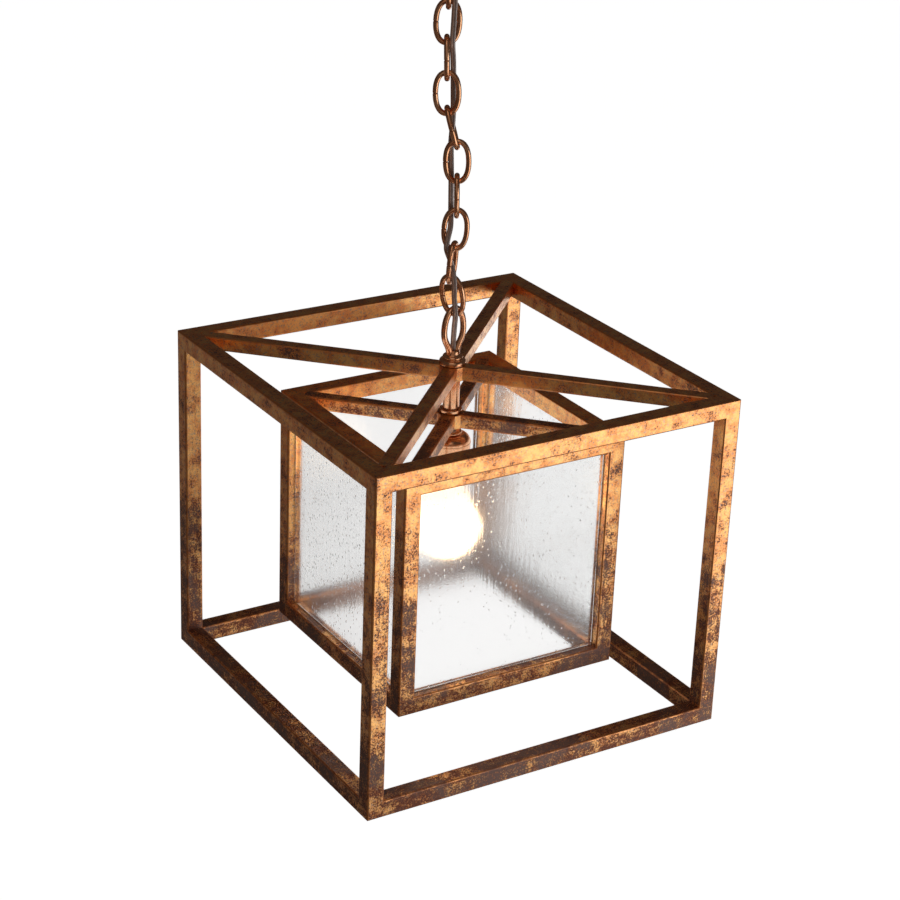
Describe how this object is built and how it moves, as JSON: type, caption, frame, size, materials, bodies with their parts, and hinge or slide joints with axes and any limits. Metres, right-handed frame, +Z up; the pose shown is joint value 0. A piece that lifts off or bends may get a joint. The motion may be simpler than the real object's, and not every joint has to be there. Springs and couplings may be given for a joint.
{
  "type": "hanging lantern",
  "caption": "Open cube-frame hanging lantern in square tube: glazed inner cage with a bulb, carried on a chain with laced lamp wire from a domed ceiling canopy.",
  "frame": {"origin": "centre of the canopy rim, in the ceiling plane; the whole lantern hangs below it", "axes": "+Z up; X and Y along the sides of the square frames"},
  "size_m": [0.3556, 0.3556, 0.7223],
  "materials": {
    "antique_copper": "mottled antique copper over steel, satin",
    "seeded_glass": "clear seeded and lightly reamy sheet",
    "bulb_glass": "lit, inside frosted",
    "brass": "bright rolled",
    "phenolic": "moulded",
    "lamp_wire": "brown translucent twin lead",
    "plated_steel": "zinc plated"
  },
  "bodies": {
    "canopy": {"canopy": "antique_copper", "mounting_strap": "plated_steel", "canopy_collar_nut": "antique_copper", "canopy_loop": "antique_copper", "lamp_wire": "lamp_wire"},
    "link_01": {"chain_link_01": "antique_copper"},
    "link_02": {"chain_link_02": "antique_copper"},
    "link_03": {"chain_link_03": "antique_copper"},
    "link_04": {"chain_link_04": "antique_copper"},
    "link_05": {"chain_link_05": "antique_copper"},
    "link_06": {"chain_link_06": "antique_copper"},
    "link_07": {"chain_link_07": "antique_copper"},
    "link_08": {"chain_link_08": "antique_copper"},
    "link_09": {"chain_link_09": "antique_copper"},
    "link_10": {"chain_link_10": "antique_copper"},
    "lantern": {"outer_top_rail_front": "antique_copper", "outer_bottom_rail_front": "antique_copper", "outer_post_1": "antique_copper", "outer_brace_1": "antique_copper", "outer_top_rail_right": "antique_copper", "outer_bottom_rail_right": "antique_copper", "outer_post_2": "antique_copper", "outer_brace_2": "antique_copper", "outer_top_rail_back": "antique_copper", "outer_bottom_rail_back": "antique_copper", "outer_post_3": "antique_copper", "outer_brace_3": "antique_copper", "outer_top_rail_left": "antique_copper", "outer_bottom_rail_left": "antique_copper", "outer_post_4": "antique_copper", "outer_brace_4": "antique_copper", "inner_top_rail_front": "antique_copper", "inner_bottom_rail_front": "antique_copper", "inner_post_1": "antique_copper", "inner_brace_1": "antique_copper", "inner_top_rail_right": "antique_copper", "inner_bottom_rail_right": "antique_copper", "inner_post_2": "antique_copper", "inner_brace_2": "antique_copper", "inner_top_rail_back": "antique_copper", "inner_bottom_rail_back": "antique_copper", "inner_post_3": "antique_copper", "inner_brace_3": "antique_copper", "inner_top_rail_left": "antique_copper", "inner_bottom_rail_left": "antique_copper", "inner_post_4": "antique_copper", "inner_brace_4": "antique_copper", "glass_pane_front": "seeded_glass", "glass_pane_right": "seeded_glass", "glass_pane_back": "seeded_glass", "glass_pane_left": "seeded_glass", "fixture_loop": "antique_copper", "stem_tube": "antique_copper", "lower_collar": "antique_copper", "threaded_pipe": "plated_steel", "socket_cup": "antique_copper", "socket_insulator": "phenolic", "socket_screw_shell": "brass"},
    "bulb": {"bulb_base": "brass", "bulb_glass": "bulb_glass"}
  },
  "joints": [
    {"name": "link_01_swing", "type": "hinge", "parent": "canopy", "child": "link_01", "pos_m": [0, 0, -0.0706], "axis": [0.8453, -0.5344, 0], "range_deg": [-15, 15]},
    {"name": "link_02_swing", "type": "hinge", "parent": "link_01", "child": "link_02", "pos_m": [0, 0, -0.0999], "axis": [0.5344, 0.8453, 0], "range_deg": [-15, 15]},
    {"name": "link_03_swing", "type": "hinge", "parent": "link_02", "child": "link_03", "pos_m": [-0.00053, 0.00033, -0.12959], "axis": [0.8451, -0.5342, -0.0209], "range_deg": [-15, 15]},
    {"name": "link_04_swing", "type": "hinge", "parent": "link_03", "child": "link_04", "pos_m": [0.00071, -0.00045, -0.15927], "axis": [0.5344, 0.8453, 0], "range_deg": [-15, 15]},
    {"name": "link_05_swing", "type": "hinge", "parent": "link_04", "child": "link_05", "pos_m": [0.00163, -0.00103, -0.18895], "axis": [0.8447, -0.534, 0.0366], "range_deg": [-15, 15]},
    {"name": "link_06_swing", "type": "hinge", "parent": "link_05", "child": "link_06", "pos_m": [0.00961, -0.00607, -0.21727], "axis": [0.5344, 0.8453, 0], "range_deg": [-15, 15]},
    {"name": "link_07_swing", "type": "hinge", "parent": "link_06", "child": "link_07", "pos_m": [0.01044, -0.0066, -0.24696], "axis": [0.8448, -0.5341, 0.0332], "range_deg": [-15, 15]},
    {"name": "link_08_swing", "type": "hinge", "parent": "link_07", "child": "link_08", "pos_m": [0.01107, -0.007, -0.27665], "axis": [0.5344, 0.8453, 0], "range_deg": [-15, 15]},
    {"name": "link_09_swing", "type": "hinge", "parent": "link_08", "child": "link_09", "pos_m": [0.01006, -0.00636, -0.30633], "axis": [0.8446, -0.5339, -0.0401], "range_deg": [-15, 15]},
    {"name": "link_10_swing", "type": "hinge", "parent": "link_09", "child": "link_10", "pos_m": [0.00847, -0.00532, -0.33597], "axis": [0.731, 0.6823, -0.0155], "range_deg": [-15, 15]},
    {"name": "lantern_swing", "type": "hinge", "parent": "link_10", "child": "lantern", "pos_m": [0.01287, -0.00783, -0.36524], "axis": [0.5339, -0.8319, 0.1515], "range_deg": [-15, 15], "deforming": ["lamp_wire"]},
    {"name": "bulb_removal", "type": "slide", "parent": "lantern", "child": "bulb", "axis": [0, 0, -1], "range_m": [0, 0.245]}
  ]
}
